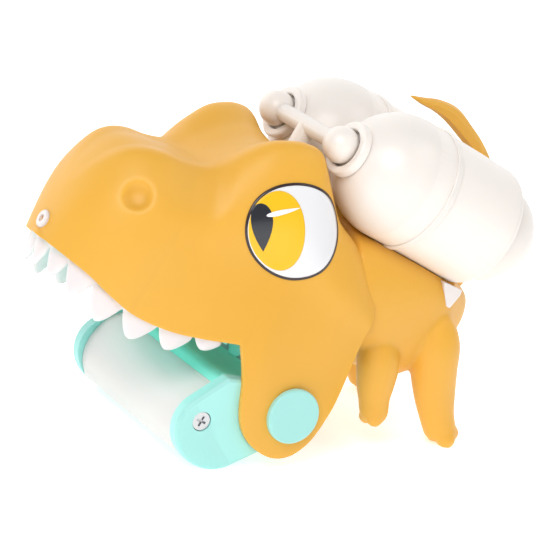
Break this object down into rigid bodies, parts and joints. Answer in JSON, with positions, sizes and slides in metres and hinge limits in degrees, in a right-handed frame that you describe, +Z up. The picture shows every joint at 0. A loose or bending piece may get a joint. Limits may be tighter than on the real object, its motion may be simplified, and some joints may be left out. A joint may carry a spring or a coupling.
{
  "type": "water squirter",
  "caption": "Hand-pumped water squirter shaped as a dinosaur: squeezing the lower jaw drives a piston pump fed by two back-mounted tanks.",
  "frame": {"origin": "centre of the bounding box's footprint, on the surface the toy stands on", "axes": "+Z up as it stands, -Y towards the snout, +X to the toy's left"},
  "size_m": [0.1054, 0.2196, 0.1354],
  "materials": {
    "body_yellow": "satin",
    "trim_mint": "satin",
    "tank_white": "satin gloss",
    "panel_white": "satin",
    "teeth_white": "satin",
    "eye_paint": "gloss",
    "pump_grey": "moulded",
    "seal_rubber": "matte",
    "hose_pvc": "smooth",
    "steel": "plated"
  },
  "bodies": {
    "toy": {"arm_left": "body_yellow", "arm_right": "body_yellow", "delivery_hose": "hose_pvc", "delivery_valve": "seal_rubber", "eye_left": "eye_paint", "eye_right": "eye_paint", "head_shell_left": "body_yellow", "head_shell_right": "body_yellow", "leg_left": "body_yellow", "leg_right": "body_yellow", "nozzle": "panel_white", "nozzle_seal": "seal_rubber", "palate": "trim_mint", "pivot_cap_left": "trim_mint", "pivot_cap_right": "trim_mint", "pivot_pin_left": "steel", "pivot_pin_right": "steel", "pump_cylinder": "pump_grey", "pump_gland": "pump_grey", "return_spring": "steel", "shell_screws": "steel", "suction_hose": "hose_pvc", "suction_valve": "seal_rubber", "tail": "body_yellow", "tank_clip_left": "panel_white", "tank_clip_right": "panel_white", "tank_collar_left": "tank_white", "tank_collar_right": "tank_white", "tank_front_left": "tank_white", "tank_front_right": "tank_white", "tank_manifold": "tank_white", "tank_rear_left": "tank_white", "tank_rear_right": "tank_white", "tank_rib_left": "tank_white", "tank_rib_right": "tank_white", "torso_shell_left": "body_yellow", "torso_shell_right": "body_yellow", "upper_teeth": "teeth_white", "valve_block": "pump_grey"},
    "jaw": {"jaw_side_left": "trim_mint", "jaw_side_right": "trim_mint", "jaw_bridge": "trim_mint", "jaw_grip": "panel_white", "jaw_crank": "pump_grey", "jaw_screws": "steel"},
    "pump_piston": {"piston": "pump_grey", "piston_seal": "seal_rubber", "piston_rod": "pump_grey", "cross_pin": "steel"},
    "left_cap": {"filler_cap_left": "tank_white", "cap_seal_left": "seal_rubber"},
    "right_cap": {"filler_cap_right": "tank_white", "cap_seal_right": "seal_rubber"}
  },
  "joints": [
    {"name": "jaw_hinge", "type": "hinge", "parent": "toy", "child": "jaw", "pos_m": [0, -0.0163, 0.02216], "axis": [-1, 0, 0], "range_deg": [0, 15], "stiffness_Nm_per_rad": 0.25, "springref_deg": -28.65, "deforming": ["return_spring"]},
    {"name": "piston_slide", "type": "slide", "parent": "toy", "child": "pump_piston", "axis": [0, 0.9026, -0.4305], "range_m": [0, 0.01414]},
    {"name": "left_cap_pull", "type": "slide", "parent": "toy", "child": "left_cap", "axis": [0, 0.9026, -0.4305], "range_m": [0, 0.016]},
    {"name": "right_cap_pull", "type": "slide", "parent": "toy", "child": "right_cap", "axis": [0, 0.9026, -0.4305], "range_m": [0, 0.016]}
  ],
  "couplings": [
    {"joint": "piston_slide", "follows": "jaw_hinge", "m_per_rad": 0.054}
  ]
}
